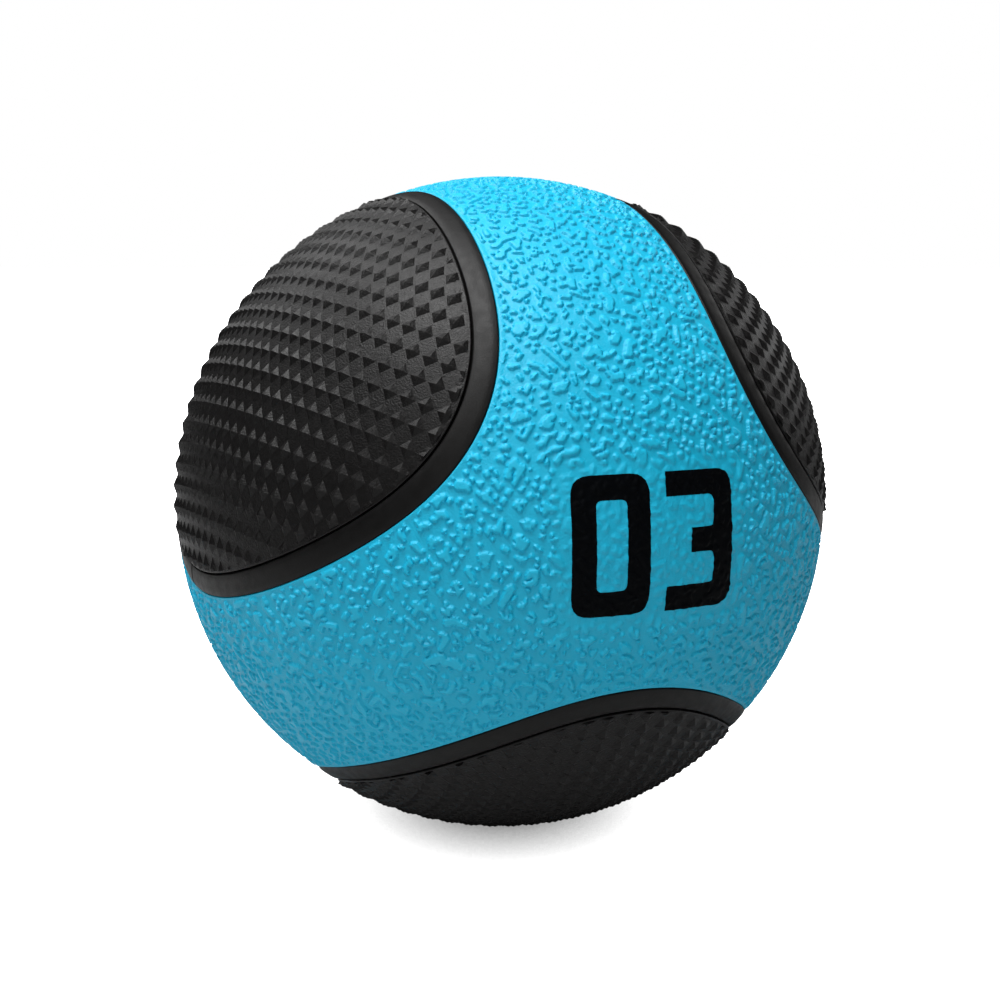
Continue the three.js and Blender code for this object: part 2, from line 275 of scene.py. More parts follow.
def open_edges(faces):
    """The edges that only one face has, each in the direction in which that face has it."""
    edges = np.concatenate([faces[:, [0, 1]], faces[:, [1, 2]], faces[:, [2, 0]]])
    key = np.sort(edges, axis=1) @ np.array([faces.max() + 1, 1])
    _, first, count = np.unique(key, return_index=True, return_counts=True)
    return edges[first[count == 1]]


def add_skirt(points, faces, rows):
    """Carries the open edges on through rows, each a function from the edge's points to its own."""
    edges = open_edges(faces)
    rim, edges = np.unique(edges, return_inverse=True)
    edges = edges.reshape(-1, 2)
    above = rim
    start = points[rim]
    for row in rows:
        below = np.arange(len(rim)) + len(points)
        points = np.concatenate([points, row(start)])
        a, b = edges[:, 0], edges[:, 1]
        wall = [
            np.stack([above[b], above[a], below[a]], axis=-1),
            np.stack([above[b], below[a], below[b]], axis=-1),
        ]
        faces = np.concatenate([faces, *wall])
        above = below
    return points, faces


def revolve(profile, steps, basis):
    """Points and four-cornered faces of a profile of (radius, height) turned about basis's Z."""
    turn = np.linspace(0, 2 * np.pi, steps, endpoint=False)
    points = [[r * np.cos(turn), r * np.sin(turn), np.full(steps, h)] for r, h in profile]
    points = np.concatenate([np.stack(ring, axis=-1) for ring in points])
    return points @ basis, ring_faces(len(profile), steps)


def ring_faces(rows, steps):
    """Faces between successive rings of steps points."""
    row = np.arange(rows - 1)[:, None]
    step = np.arange(steps)[None, :]
    here = row * steps
    after = here + steps
    beyond = (step + 1) % steps
    corners = [here + step, here + beyond, after + beyond, after + step]
    return np.stack(corners, axis=-1).reshape(-1, 4)


# ---------------------------------------------------------------- material helpers

MIX_FACTOR = 0  # sockets of a colour Mix node
MIX_A = 6
MIX_B = 7
MIX_RESULT = 2
NOISE_LOW = 0.3  # most of a noise's values lie between these
NOISE_HIGH = 0.7


class Shader:
    """A new material with a Principled shader, and short ways to add nodes to it."""

    def __init__(self, name, roughness, specular=0.5):
        self.material = bpy.data.materials.new(name)
        self.material.use_nodes = True
        self.tree = self.material.node_tree
        self.shader = self.tree.nodes["Principled BSDF"]
        self.shader.inputs["Roughness"].default_value = roughness
        self.shader.inputs["Specular IOR Level"].default_value = specular
        self.place = self.add("ShaderNodeTexCoord").outputs["Object"]

    def add(self, kind, **settings):
        node = self.tree.nodes.new(kind)
        for key, value in settings.items():
            setattr(node, key, value)
        return node

    def link(self, output, node, socket):
        self.tree.links.new(output, node.inputs[socket])

    def noise(self, size_mm, detail=2.0, roughness=0.5):
        """Noise whose features are about size_mm across."""
        node = self.add("ShaderNodeTexNoise")
        node.inputs["Scale"].default_value = 1 / (size_mm * MM)
        node.inputs["Detail"].default_value = detail
        node.inputs["Roughness"].default_value = roughness
        self.link(self.place, node, "Vector")
        return node.outputs["Fac"]

    def attribute(self, name):
        return self.add("ShaderNodeAttribute", attribute_name=name).outputs["Fac"]

    def remap(self, value, low, high, to_low, to_high):
        node = self.add("ShaderNodeMapRange", interpolation_type="SMOOTHSTEP")
        self.link(value, node, "Value")
        for socket, number in zip(
            ("From Min", "From Max", "To Min", "To Max"), (low, high, to_low, to_high)
        ):
            node.inputs[socket].default_value = number
        return node.outputs["Result"]

    def wander(self, size_mm, low, high):
        """A number that wanders between low and high, in patches about size_mm across."""
        return self.remap(self.noise(size_mm, 3), NOISE_LOW, NOISE_HIGH, low, high)

    def mix(self, factor, a, b):
        """Colour between a and b; each is a colour or an output."""
        node = self.add("ShaderNodeMix", data_type="RGBA")
        self.link(factor, node, MIX_FACTOR)
        for socket, colour in ((MIX_A, a), (MIX_B, b)):
            if isinstance(colour, tuple):
                node.inputs[socket].default_value = (*colour, 1)
            else:
                self.link(colour, node, socket)
        return node.outputs[MIX_RESULT]

    def bump(self, height, strength, distance_mm):
        node = self.add("ShaderNodeBump")
        node.inputs["Strength"].default_value = strength
        node.inputs["Distance"].default_value = distance_mm * MM
        self.link(height, node, "Height")
        return node.outputs["Normal"]

    def finish(self, colour, normal, roughness=None):
        self.link(colour, self.shader, "Base Color")
        self.link(normal, self.shader, "Normal")
        if roughness is not None:
            self.link(roughness, self.shader, "Roughness")
        return self.material


def cover_material():
    """Satin blue rubber: slightly paler on the islands, deeper between them, with a fine grain."""
    s = Shader("blue_cover_rubber", 0.45, 0.3)
    relief = s.remap(s.attribute("relief"), 0.1, 0.95, 0, 1)
    valley = s.mix(s.noise(28), (0.004, 0.37, 0.575), (0.006, 0.41, 0.62))
    top = s.mix(s.noise(18), (0.005, 0.39, 0.60), (0.009, 0.43, 0.65))
    colour = s.mix(relief, valley, top)
    roughness = s.wander(2.4, 0.40, 0.52)
    grain = s.bump(s.noise(0.6, 2, 0.6), 0.9, 0.22)
    return s.finish(colour, grain, roughness)


def pad_material():
    """Matte black rubber with a sandy grain, rubbed paler along the tops of the knurl."""
    s = Shader("black_grip_rubber", 0.39, 0.19)
    worn = s.remap(s.attribute("height"), 0.75, 1.0, 0, 0.5)
    ground = s.mix(s.noise(22), (0.0024, 0.0022, 0.0022), (0.0034, 0.0031, 0.0031))
    colour = s.mix(worn, ground, (0.0100, 0.0095, 0.0093))
    roughness = s.wander(1.6, 0.34, 0.44)
    grain = s.bump(s.noise(0.55, 2, 0.6), 0.9, 0.22)
    return s.finish(colour, grain, roughness)


def border_material():
    """Smooth satin black rubber with a very fine grain."""
    s = Shader("black_border_rubber", 0.42, 0.16)
    colour = s.mix(s.noise(30), (0.0025, 0.0024, 0.0024), (0.0040, 0.0038, 0.0038))
    roughness = s.wander(3.0, 0.40, 0.50)
    grain = s.bump(s.noise(0.5, 2, 0.6), 0.6, 0.08)
    return s.finish(colour, grain, roughness)


def ink_material():
    """Black screen-printing ink, thin and slightly uneven."""
    s = Shader("black_print_ink", 0.5, 0.03)
    colour = s.mix(s.noise(4, 3), (0.0008, 0.0010, 0.0014), (0.0015, 0.0020, 0.0027))
    roughness = s.wander(1.5, 0.42, 0.55)
    grain = s.bump(s.noise(0.4, 3, 0.6), 0.3, 0.04)
    return s.finish(colour, grain, roughness)


def moulded_rubber(name, dark, light, roughness):
    """Plain moulded rubber of the inner pieces and the valve."""
    s = Shader(name, roughness)
    colour = s.mix(s.noise(9, 3), dark, light)
    rough = s.wander(2, roughness - 0.06, roughness + 0.06)
    grain = s.bump(s.noise(0.6, 3), 0.4, 0.08)
    return s.finish(colour, grain, rough)


def winding_material():
    """Wound cord: bands of paler and darker strands, and ribs that cross them."""
    s = Shader("wound_cord", 0.85)
    waves = []
    for direction in ("DIAGONAL", "X"):
        wave = s.add("ShaderNodeTexWave", bands_direction=direction)
        wave.inputs["Scale"].default_value = 400
        wave.inputs["Distortion"].default_value = 1.5
        s.link(s.place, wave, "Vector")
        waves.append(wave.outputs["Fac"])
    strands = s.mix(waves[0], (0.42, 0.38, 0.29), (0.62, 0.58, 0.47))
    colour = s.mix(s.noise(12), strands, (0.5, 0.46, 0.36))
    return s.finish(colour, s.bump(waves[1], 0.5, 0.3))


# ---------------------------------------------------------------- blue cover


def geodesic(cuts):
    """Unit vectors and triangles of an icosahedron with each edge cut into equal steps."""
    g = (1 + math.sqrt(5)) / 2
    corners = unit(np.array([
        [-1, g, 0], [1, g, 0], [-1, -g, 0], [1, -g, 0], [0, -1, g], [0, 1, g],
        [0, -1, -g], [0, 1, -g], [g, 0, -1], [g, 0, 1], [-g, 0, -1], [-g, 0, 1],
    ]))
    sides = [
        (0, 11, 5), (0, 5, 1), (0, 1, 7), (0, 7, 10), (0, 10, 11), (1, 5, 9), (5, 11, 4),
        (11, 10, 2), (10, 7, 6), (7, 1, 8), (3, 9, 4), (3, 4, 2), (3, 2, 6), (3, 6, 8),
        (3, 8, 9), (4, 9, 5), (2, 4, 11), (6, 2, 10), (8, 6, 7), (9, 8, 1),
    ]
    row, column = np.array([(i, j) for i in range(cuts + 1) for j in range(i + 1)]).T
    weights = np.stack([cuts - row, row - column, column], axis=-1) / cuts
    start = row * (row + 1) // 2 + column
    inner = row < cuts
    down = start[inner]
    under = down + row[inner] + 1
    upright = np.stack([down, under, under + 1], axis=-1)
    pointed = inner & (column < row)
    hang = start[pointed]
    hanging = np.stack([hang, hang + row[pointed] + 2, hang + 1], axis=-1)
    local = np.concatenate([upright, hanging])
    points = np.concatenate([weights @ corners[list(side)] for side in sides])
    faces = np.concatenate([local + i * len(weights) for i in range(len(sides))])
    points, faces = merge(points, faces, decimals=6)
    return unit(points), faces


def scatter_seeds(random):
    """Directions spread evenly over the sphere, each then nudged at random."""
    count = round(4 * math.pi * RADIUS**2 / (SEED_AREA * ISLAND_PITCH**2))
    number = np.arange(count)
    level = 1 - (2 * number + 1) / count
    turn = number * math.pi * (3 - math.sqrt(5))  # the golden angle from each to the next
    across = np.sqrt(1 - level**2)
    seeds = np.column_stack([across * np.cos(turn), across * np.sin(turn), level])
    return unit(seeds + random.normal(size=seeds.shape) * ISLAND_JITTER * ISLAND_PITCH / RADIUS)


def point_tree(points):
    tree = KDTree(len(points))
    for number, point in enumerate(points.tolist()):
        tree.insert(point, number)
    tree.balance()
    return tree


def grow_islands(seeds, random):
    """Walks from seed to free neighbouring seed; each walk, of one to five seeds, is an island."""
    tree = point_tree(seeds)
    free = np.ones(len(seeds), dtype=bool)
    reach = ISLAND_REACH * ISLAND_PITCH / RADIUS
    islands = []
    for start in random.permutation(len(seeds)):
        if not free[start]:
            continue
        free[start] = False
        walk = [start]
        for _ in range(random.choice(len(ISLAND_LENGTHS), p=ISLAND_LENGTHS)):
            found = tree.find_n(seeds[walk[-1]], SEEDS_TRIED)
            near = [number for _, number, distance in found if free[number] and distance < reach]
            if not near:
                break
            walk.append(near[random.integers(len(near))])
            free[walk[-1]] = False
        islands.append(walk)
    return islands


def worm(stops):
    """Points along a line through the stops, with its corners rounded."""
    share = np.linspace(0, 1, WORM_SAMPLES)[:, None]
    line = np.concatenate([a + (b - a) * share for a, b in zip(stops[:-1], stops[1:])])
    before = [line[:1]] * WORM_ROUNDING
    after = [line[-1:]] * WORM_ROUNDING
    padded = np.concatenate([*before, line, *after])
    return np.mean([padded[i : i + len(line)] for i in range(2 * WORM_ROUNDING + 1)], axis=0)


def blob(stops):
    """Points on spokes from the middle of the stops to each of them."""
    middle = stops.mean(axis=0)
    shares = np.linspace(0, 1, BLOB_SAMPLES)
    return np.concatenate([middle + (stops - middle) * share for share in shares])


def island_spine():
    """Points along the middle lines of all islands, and each island's half-width at them."""
    random = np.random.default_rng(ISLAND_SEED)
    seeds = scatter_seeds(random)
    spine = []
    width = []
    for walk in grow_islands(seeds, random):
        stops = seeds[walk] * RADIUS
        middle = stops.mean(axis=0)
        stops = middle + (stops - middle) * random.uniform(*ISLAND_SHRINK)
        radius = random.uniform(*ISLAND_RADII)
        if len(walk) == 1:
            line = stops
        elif len(walk) == 3:
            line = blob(stops)
            radius *= BLOB_WIDENING
        else:
            line = worm(stops)
        spine.append(line)
        width.append(np.full(len(line), radius))
    return np.concatenate(spine), np.concatenate(width)


def wobble(points):
    """A small smooth random shift that makes the islands' outlines uneven."""
    random = np.random.default_rng(ISLAND_SEED + 1)
    heading = unit(random.normal(size=(WOBBLE_WAVES, 3)))
    length = random.uniform(*WOBBLE_LENGTHS, WOBBLE_WAVES)
    waves = heading * 2 * np.pi / length[:, None]
    phase = random.uniform(0, 2 * np.pi, WOBBLE_WAVES)
    shift = random.normal(size=(WOBBLE_WAVES, 3)) * WOBBLE / math.sqrt(WOBBLE_WAVES / 2)
    return np.sin(points @ waves.T + phase) @ shift


def island_distance(points):
    """Distance inside the nearest island's edge, negative outside, and the way to the edge."""
    spine, width = island_spine()
    tree = point_tree(spine)
    moved = points + wobble(points)
    inside = np.empty(len(points))
    nearest = np.empty(len(points), dtype=int)
    for number, place in enumerate(moved.tolist()):
        found = tree.find_n(place, SAMPLES_TRIED)
        depth = [width[sample] - distance for _, sample, distance in found]
        inside[number] = max(depth)
        nearest[number] = found[depth.index(inside[number])][1]
    away = moved - spine[nearest]
    normal = unit(points)
    away -= normal * np.sum(away * normal, axis=1, keepdims=True)
    return inside, unit(away + TINY)


def opening_distance(directions):
    """Distance from the nearest opening's edge, negative inside it, and that opening's number."""
    gaps = []
    for basis in PADS.values():
        angle, azimuth = polar_angles(directions, basis)
        gaps.append(RADIUS * (angle - outline(WINDOW_EDGE, azimuth)))
    angle, _ = polar_angles(directions, VALVE)
    gaps.append(RADIUS * angle - VALVE_HOLE)
    gaps = np.stack(gaps, axis=-1)
    return gaps.min(axis=1), gaps.argmin(axis=1)


def move_from_edge(directions, distance):
    """Directions moved along their own azimuths to a distance from their nearest opening's edge."""
    _, nearest = opening_distance(directions)
    moved = directions.copy()
    for number, basis in enumerate([*PADS.values(), VALVE]):
        mine = nearest == number
        _, azimuth = polar_angles(directions[mine], basis)
        if number < len(PADS):
            angle = outline(WINDOW_EDGE, azimuth)
        else:
            angle = VALVE_HOLE / RADIUS
        moved[mine] = from_polar(angle + distance / RADIUS, azimuth, basis)
    return moved


def trim_openings(directions, faces, step):
    """Cuts the openings out of a fine sphere, and pulls the points beside them onto their edges."""
    band = EDGE_BAND * step
    gap, _ = opening_distance(directions)
    keep = (gap[faces] > -band).all(axis=1) & (gap[faces] > band).any(axis=1)
    directions, faces, gap = drop_unused(directions, faces[keep], gap)
    near = gap < band
    directions[near] = move_from_edge(directions[near], 0.0)
    return directions, faces


def mark_frame():
    """Basis of the weight mark, and its rectangle in it: lowest and highest X and Y."""
    zero = node_points("weight_digit_zero")
    three = node_points("weight_digit_three")
    basis = aim(-AXES["rear"], unit(three.mean(axis=0) - zero.mean(axis=0)))
    local = np.concatenate([zero, three]) @ basis.T
    return basis, local.min(axis=0), local.max(axis=0)


def softness(points):
    """1 under the printed mark, where the islands are lower and softer, fading to 0 round it."""
    basis, low, high = mark_frame()
    local = points @ basis.T
    outside = np.maximum(np.maximum(low - local, local - high), 0)[:, :2]
    return smoothstep(MARK_FADE, 0, np.hypot(*outside.T)) * (local[:, 2] > 0)


def snap_to_sides(points, inside, away, chosen):
    """Moves the chosen points to rows along the islands' sides, which keeps the sides crisp."""
    target = np.sign(inside[chosen]) * ISLAND_SLOPE * SNAP_PLACE
    points[chosen] += away[chosen] * (inside[chosen] - target)[:, None]
    inside[chosen] = target


def island_relief(inside, soft, gap, nearest):
    """Relief from 0 to 1: softer under the mark, and none along an opening."""
    slope = ISLAND_SLOPE * (1 + MARK_WIDENING * soft)
    relief = smoothstep(-slope, slope, inside) * (1 - MARK_LOWERING * soft)
    clear = np.where(nearest == len(PADS), VALVE_CLEAR, LIP_CLEAR)
    return relief * smoothstep(clear, clear + LIP_FADE, gap)


def cover_surface():
    """Points, faces and relief of the cover, with its islands and the rise of its lips."""
    directions, faces = geodesic(GEODESIC_CUTS)
    cosine = np.sum(directions[faces[:, 0]] * directions[faces[:, 1]], axis=1)
    step = RADIUS * np.arccos(cosine).mean()
    directions, faces = trim_openings(directions, faces, step)
    points = directions * RADIUS
    inside, away = island_distance(points)
    gap, nearest = opening_distance(directions)
    soft = softness(points)
    chosen = (np.abs(inside) < SNAP_REACH * step) & (gap > step) & (soft < SNAP_SOFTNESS)
    snap_to_sides(points, inside, away, chosen)
    relief = island_relief(inside, soft, gap, nearest)
    lip = LIP_RISE * smoothstep(LIP_WIDTH, 0, gap) * (1 - relief)
    height = ISLAND_TOP - ISLAND_HEIGHT * (1 - relief) + lip
    return unit(points) * (RADIUS + height)[:, None], faces, relief


def lip_row(inwards, down):
    """A row of the cover's rounded lip: how far past the edge, and how far below its crest."""
    lip = RADIUS + ISLAND_TOP - ISLAND_HEIGHT + LIP_RISE
    return lambda rim: move_from_edge(unit(rim), -inwards) * (lip - down)


def make_cover():
    points, faces, relief = cover_surface()
    rows = [lip_row(inwards, down) for inwards, down in LIP_ROUND]
    rows.append(lip_row(LIP_ROUND[-1][0], PIECE_DEPTH))
    count = len(points)
    points, faces = add_skirt(points, faces, rows)
    relief = np.concatenate([relief, np.zeros(len(points) - count)])
    steep = np.ptp(relief[faces], axis=1) > STEEP_RELIEF
    cover = make_piece("blue_cover", points, faces, cover_material(), smooth=~steep)
    store(cover, "relief", relief)
    stand_for(cover, "outer_cover")
    return cover


# ---------------------------------------------------------------- grip pads


def spread(line):
    """Place of a mesh line in half cells; the last line but one of a half cell is a pyramid's foot."""
    half, step = np.divmod(line, CELL_CUTS)
    rising = half % 2 == 0
    from_tip = np.where(rising, step, CELL_CUTS - step)
    place = np.where(from_tip == CELL_CUTS, 1, from_tip * CELL_FILL / (CELL_CUTS - 1))
    return half + np.where(rising, place, 1 - place)


def knurl_grid():
    """Flat points and faces over a pad; the faces' diagonals follow the pyramids' edges."""
    du = CELL_WIDTH / 2 / CELL_CUTS
    dv = CELL_HEIGHT / 2 / CELL_CUTS
    reach = RADIUS * math.sin(PAD_EDGE + LOBE + FLAT)
    nu = math.ceil(reach / du) + 1
    nv = math.ceil(reach / dv) + 1
    i, j = np.meshgrid(np.arange(-nu, nu + 1), np.arange(-nv, nv + 1), indexing="ij")
    flat = np.stack([spread(i.ravel()) * CELL_WIDTH, spread(j.ravel()) * CELL_HEIGHT], axis=-1) / 2
    columns = 2 * nv + 1
    number = np.arange(flat.shape[0]).reshape(i.shape)[:-1, :-1].ravel()
    rising = ((i[:-1, :-1] // CELL_CUTS + j[:-1, :-1] // CELL_CUTS) % 2 == 1).ravel()[:, None]
    a, b, c, d = number, number + columns, number + columns + 1, number + 1
    falling_faces = np.stack([a, b, d, b, c, d], axis=-1)
    rising_faces = np.stack([a, b, c, a, c, d], axis=-1)
    faces = np.where(rising, rising_faces, falling_faces).reshape(-1, 3)
    keep = (np.hypot(*flat.T) < reach)[faces].all(axis=1)
    return drop_unused(flat, faces[keep])


def knurl(flat):
    """Height from 0 to 1 of the pyramids at flat points."""
    u = np.abs((flat[:, 0] / CELL_WIDTH + 0.5) % 1 - 0.5)
    v = np.abs((flat[:, 1] / CELL_HEIGHT + 0.5) % 1 - 0.5)
    return np.clip(1 - 2 * (u + v) / CELL_FILL, 0, KNURL_BLUNT)


def pad_directions(flat):
    """Unit vectors, in the pad's frame, that lie straight above flat points."""
    level = np.sqrt(np.clip(1 - np.sum(flat**2, axis=1) / RADIUS**2, 0, 1))
    return np.column_stack([flat / RADIUS, level])


LOCAL = np.eye(3)  # a pad's own frame, which PADS turns into place


def inset_row(inset, height):
    """A row of a pad's rim, at an inset from the pad's edge and a height."""

    def row(rim):
        _, azimuth = polar_angles(rim, LOCAL)
        angle = outline(PAD_EDGE, azimuth) - inset / RADIUS
        return from_polar(angle, azimuth, LOCAL) * (RADIUS + height)

    return row


def pad_surface():
    """Points, faces and knurl height of a pad, in its own frame."""
    flat, faces = knurl_grid()
    directions = pad_directions(flat)
    angle, azimuth = polar_angles(directions, LOCAL)
    gap = RADIUS * (outline(PAD_EDGE, azimuth) - angle) - KNURL_MARGIN
    band = EDGE_BAND * math.hypot(CELL_WIDTH, CELL_HEIGHT) / 2 / CELL_CUTS
    keep = (gap[faces] > -band).all(axis=1) & (gap[faces] > band).any(axis=1)
    directions, faces, gap = drop_unused(directions, faces[keep], gap)
    near = gap < band
    directions[near] = unit(inset_row(KNURL_MARGIN, 0)(directions[near]))
    height = knurl(directions[:, :2] * RADIUS)
    points = directions * (RADIUS + KNURL_FLOOR + KNURL_HEIGHT * height)[:, None]
    count = len(points)
    rows = [inset_row(KNURL_MARGIN, KNURL_FLOOR)]
    rows += [inset_row(inset, KNURL_FLOOR - down) for inset, down in PAD_ROUND]
    rows.append(inset_row(0, -PIECE_DEPTH))
    points, faces = add_skirt(points, faces, rows)
    return points, faces, np.concatenate([height, np.zeros(len(points) - count)])


def make_pads():
    points, faces, height = pad_surface()
    material = pad_material()
    for side, basis in PADS.items():
        pad = make_piece(f"knurled_pad_{side}", points @ basis, faces, material, smooth=False)
        store(pad, "height", height)
        stand_for(pad, f"grip_pad_{side}")


# ---------------------------------------------------------------- borders


def border_profile():
    """(inset from the window's edge, height above the crest) from the outer foot to the flange."""
    start = BORDER_GROOVE
    end = RADIUS * (WINDOW_EDGE - PAD_EDGE) - BORDER_GROOVE
    turn = np.linspace(0, np.pi / 2, ROUND_STEPS + 1)
    rise = np.column_stack([
        start + BORDER_ROUND * (1 - np.cos(turn)),
        BORDER_SHOULDER - BORDER_ROUND * (1 - np.sin(turn)),
    ])
    share = np.linspace(0, 1, CROWN_STEPS + 1)[1:-1]
    across = start + BORDER_ROUND + share * (end - start - 2 * BORDER_ROUND)
    bulge = 1 - (2 * share - 1) ** CROWN_POWER
    crown = BORDER_SHOULDER + (BORDER_CROWN - BORDER_SHOULDER) * bulge
    fall = rise[::-1] * (-1, 1) + (start + end, 0)
    foot = [[start, -PIECE_DEPTH]]
    flange = [
        [end, -FLANGE_DEPTH],
        [end + BORDER_FLANGE, -FLANGE_DEPTH],
        [end + BORDER_FLANGE, -PIECE_DEPTH],
    ]
    return np.concatenate([foot, rise, np.column_stack([across, crown]), fall, flange])


def make_borders():
    """A smooth ring in each window, with the fine joint across it where its ends meet."""
    across = np.linspace(-SEAM_REACH, SEAM_REACH, SEAM_STEPS + 1) * SEAM_WIDTH
    seam = SEAM_AZIMUTH + across / (RADIUS * math.sin(WINDOW_EDGE))
    azimuth = np.linspace(-np.pi, np.pi, BORDER_STEPS, endpoint=False)
    azimuth = np.sort(np.concatenate([azimuth, seam]))
    profile = border_profile()
    inset = profile[:, :1]
    angle = outline(WINDOW_EDGE, azimuth)[None, :] - inset / RADIUS
    off_seam = (azimuth - SEAM_AZIMUTH) * RADIUS * np.sin(angle)
    joint = SEAM_DEPTH * np.exp(-((off_seam / SEAM_WIDTH) ** 2))
    radius = RADIUS + profile[:, 1:] - joint
    material = border_material()
    for side, basis in PADS.items():
        points = from_polar(angle, azimuth, basis) * radius[..., None]
        faces = ring_faces(len(profile), len(azimuth))
        border = make_piece(f"smooth_border_{side}", points.reshape(-1, 3), faces[:, ::-1], material)
        stand_for(border, f"grip_border_{side}")


# ---------------------------------------------------------------- printed digits


def outer_faces(node):
    """A copy of the side of a thin node that faces away from the ball's centre."""
    mesh = NODES[node].data
    points = node_points(node)
    mesh.calc_loop_triangles()
    faces = np.array([t.vertices[:] for t in mesh.loop_triangles])
    corners = points[faces]
    normal = np.cross(corners[:, 1] - corners[:, 0], corners[:, 2] - corners[:, 0])
    outwards = np.sum(unit(normal) * unit(corners.mean(axis=1)), axis=1) > INK_FACING
    return drop_unused(*merge(points, faces[outwards], decimals=3))


def refine(points, faces, longest):
    """Halves every edge until none is longer than longest."""
    while np.linalg.norm(points[faces[:, 0]] - points[faces[:, 1]], axis=1).max() > longest:
        edges = np.concatenate([faces[:, [0, 1]], faces[:, [1, 2]], faces[:, [2, 0]]])
        edges = np.sort(edges, axis=1)
        pairs, middle = np.unique(edges, axis=0, return_inverse=True)
        middle = middle.reshape(3, -1) + len(points)
        points = np.concatenate([points, points[pairs].mean(axis=1)])
        a, b, c = faces.T
        ab, bc, ca = middle
        quarters = [(a, ab, ca), (ab, b, bc), (ca, bc, c), (ab, bc, ca)]
        faces = np.concatenate([np.stack(corners, axis=-1) for corners in quarters])
    return points, faces


def lay_on(cover, points):
    """Points moved along the ball's radii onto the cover, and lifted by the ink's thickness."""
    tree = BVHTree.FromObject(cover, bpy.context.evaluated_depsgraph_get())
    laid = np.empty_like(points)
    for number, direction in enumerate(unit(points)):
        start = direction * (RADIUS + INK_DROP) * MM
        hit = tree.ray_cast(start.tolist(), (-direction).tolist())[0]
        laid[number] = np.array(hit) / MM
    return laid + unit(laid) * INK_LIFT


def make_digits(cover):
    """The two digits, printed on the cover, so they follow its islands."""
    material = ink_material()
    for digit in ("zero", "three"):
        node = f"weight_digit_{digit}"
        points, faces = refine(*outer_faces(node), INK_STEP)
        ink = make_piece(f"printed_{digit}", lay_on(cover, points), faces, material)
        stand_for(ink, node)


# ---------------------------------------------------------------- valve


def make_valve():
    """Plug with a stem and a flat head, which has a rounded rim, a ring and a needle funnel."""
    distance, height = measure_valve()
    face = height.max()
    foot = height.min()
    head = distance.max()
    needle = distance.min()
    under_head = height[distance > head - ROUNDING].min()
    stem = distance[height < under_head - ROUNDING].max()
    profile = [
        (needle, foot),
        *[(needle + out, face - down) for out, down in VALVE_FUNNEL + VALVE_RING],
        *[(head - inwards, face - down) for inwards, down in VALVE_RIM],
        (head, under_head),
        (stem, under_head),
        (stem, foot),
        (needle, foot),
    ]
    points, faces = revolve(profile, VALVE_STEPS, VALVE)
    material = moulded_rubber("black_valve_rubber", (0.010, 0.010, 0.010), (0.018, 0.018, 0.018), 0.5)
    plug = make_piece("needle_valve_plug", points, faces[:, ::-1], material)
    stand_for(plug, "valve_plug")
    return material


# ---------------------------------------------------------------- inner pieces


def paint(node, material):
    NODES[node].data.materials.clear()
    NODES[node].data.materials.append(material)


def paint_inner_pieces(valve_rubber):
    shell = moulded_rubber("dark_shell_rubber", (0.010, 0.010, 0.010), (0.020, 0.019, 0.018), 0.8)
    bladder = moulded_rubber("bladder_rubber", (0.030, 0.027, 0.024), (0.045, 0.040, 0.035), 0.55)
    paint("carcass_winding", winding_material())
    paint("weight_shell_valve_half", shell)
    paint("weight_shell_far_half", shell)
    paint("air_bladder", bladder)
    paint("valve_housing", valve_rubber)


# ---------------------------------------------------------------- floor, light and camera, in metres

CAMERA_RADII = 4.141  # from the ball's centre, in its radii
CAMERA_ELEVATION = math.radians(12)
CAMERA_LENS = 46.8  # in millimetres
CAMERA_SENSOR = 36  # in millimetres
CAMERA_CLIP = 0.01
ROOM_LIGHT = 0.02
FLOOR_HALF = 6  # half its width
FLOOR_WHITENESS = 0.55
FLOOR_BRIGHTNESS = 4.1  # glow of the floor that the camera sees, where no painted shade darkens it, so the picture's floor is pure white there
FLOOR_SHADE_REACH = 1.0  # how far off a thing can be and still add to the painted shade on the floor
SOFTBOXES = (  # name, place, size and power in watts
    ("key_left", (-0.42, 0.00, 1.06), 0.6, 7.5),
    ("key_front", (-0.15, -0.30, 1.12), 0.6, 13.0),
    ("key_low", (-0.25, -0.70, 0.90), 0.5, 3.0),
    ("left_side", (-0.90, -0.25, 0.60), 0.5, 0.7),
    ("front_fill", (0.0, -1.2, 0.3), 0.5, 1.5),
    ("right_fill", (0.9, -0.6, 0.6), 0.6, 0.8),
    ("back_left", (-0.60, 0.60, 0.75), 0.6, 2.8),
    ("back_right", (0.85, 0.75, 0.4), 0.6, 1.5),
)


def make_camera():
    camera = bpy.data.objects.new("camera", bpy.data.cameras.new("camera"))
    camera.data.lens = CAMERA_LENS
    camera.data.sensor_width = CAMERA_SENSOR
    camera.data.clip_start = CAMERA_CLIP
    distance = CAMERA_RADII * RADIUS * MM
    back = -distance * math.cos(CAMERA_ELEVATION)
    up = distance * math.sin(CAMERA_ELEVATION)
    camera.location = (0, back, up)
    camera.rotation_euler = (math.pi / 2 - CAMERA_ELEVATION, 0, 0)
    bpy.context.scene.collection.objects.link(camera)
    bpy.context.scene.camera = camera


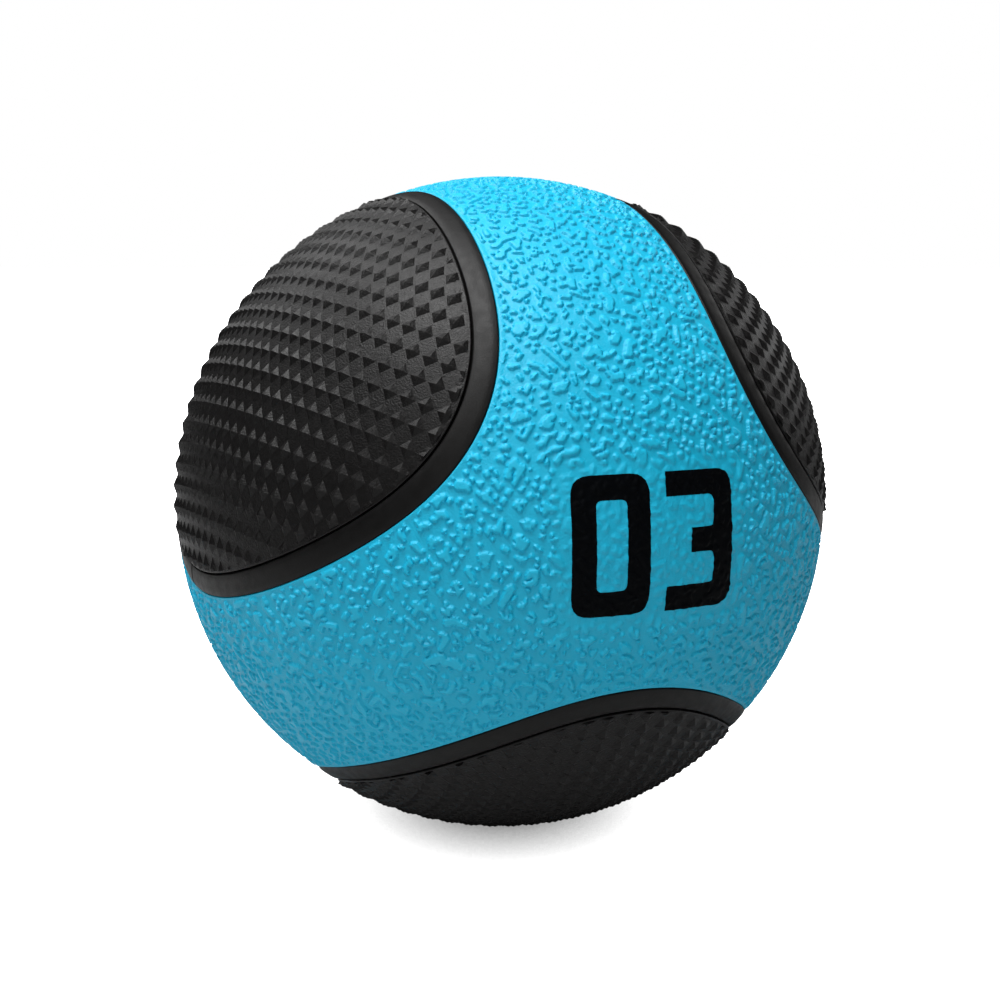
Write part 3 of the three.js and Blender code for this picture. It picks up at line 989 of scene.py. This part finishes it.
def floor_material():
    """White, seen as a glow brighter than it lights the ball, with painted shade where the ball is
    near, clear below.
    """
    material = bpy.data.materials.new("white_floor")
    material.use_nodes = True
    tree = material.node_tree
    lit = tree.nodes.new("ShaderNodeBsdfDiffuse")
    lit.inputs["Color"].default_value = (FLOOR_WHITENESS, FLOOR_WHITENESS, FLOOR_WHITENESS, 1)
    # Painted shade: the camera sees an emission coloured by the floor's ambient occlusion, so the
    # shadow round the ball is painted, not cast by the softboxes.
    shade = tree.nodes.new("ShaderNodeAmbientOcclusion")
    shade.inputs["Distance"].default_value = FLOOR_SHADE_REACH
    seen = tree.nodes.new("ShaderNodeEmission")
    seen.inputs["Strength"].default_value = FLOOR_BRIGHTNESS
    tree.links.new(shade.outputs["Color"], seen.inputs["Color"])
    path = tree.nodes.new("ShaderNodeLightPath")
    mix = tree.nodes.new("ShaderNodeMixShader")
    tree.links.new(path.outputs["Is Camera Ray"], mix.inputs[0])
    tree.links.new(lit.outputs[0], mix.inputs[1])
    tree.links.new(seen.outputs[0], mix.inputs[2])
    side = tree.nodes.new("ShaderNodeNewGeometry")
    clear = tree.nodes.new("ShaderNodeBsdfTransparent")
    sided = tree.nodes.new("ShaderNodeMixShader")
    tree.links.new(side.outputs["Backfacing"], sided.inputs[0])
    tree.links.new(mix.outputs[0], sided.inputs[1])
    tree.links.new(clear.outputs[0], sided.inputs[2])
    tree.links.new(sided.outputs[0], tree.nodes["Material Output"].inputs["Surface"])
    return material


def make_floor(level):
    signs = ((-1, -1), (1, -1), (1, 1), (-1, 1))
    corners = [(x * FLOOR_HALF / MM, y * FLOOR_HALF / MM, level / MM) for x, y in signs]
    make_piece("floor", corners, [[0, 1, 2, 3]], floor_material(), smooth=False)


def add_softbox(name, place, size, power):
    """A square area light that faces the ball and isn't seen itself."""
    data = bpy.data.lights.new(name, "AREA")
    data.shape = "SQUARE"
    data.size = size
    data.energy = power
    light = bpy.data.objects.new(name, data)
    light.location = place
    light.rotation_mode = "QUATERNION"
    light.rotation_quaternion = light.location.to_track_quat("Z", "Y")
    light.visible_camera = False
    bpy.context.scene.collection.objects.link(light)


def make_world():
    """A dim room that is seen as a white background."""
    world = bpy.data.worlds.new("studio")
    world.use_nodes = True
    bpy.context.scene.world = world
    tree = world.node_tree
    room = tree.nodes["Background"]
    room.inputs["Color"].default_value = (1, 1, 1, 1)
    room.inputs["Strength"].default_value = ROOM_LIGHT
    backdrop = tree.nodes.new("ShaderNodeBackground")
    backdrop.inputs["Color"].default_value = (1, 1, 1, 1)
    path = tree.nodes.new("ShaderNodeLightPath")
    mix = tree.nodes.new("ShaderNodeMixShader")
    tree.links.new(path.outputs["Is Camera Ray"], mix.inputs[0])
    tree.links.new(room.outputs[0], mix.inputs[1])
    tree.links.new(backdrop.outputs[0], mix.inputs[2])
    tree.links.new(mix.outputs[0], tree.nodes["World Output"].inputs["Surface"])


def make_studio():
    bpy.context.scene.view_settings.view_transform = "Standard"
    make_world()
    for softbox in SOFTBOXES:
        add_softbox(*softbox)


# ---------------------------------------------------------------- scene


make_camera()
blue_cover = make_cover()
make_borders()
make_pads()
make_digits(blue_cover)
paint_inner_pieces(make_valve())
visual_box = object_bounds()
make_floor(visual_box[0].z)
make_studio()
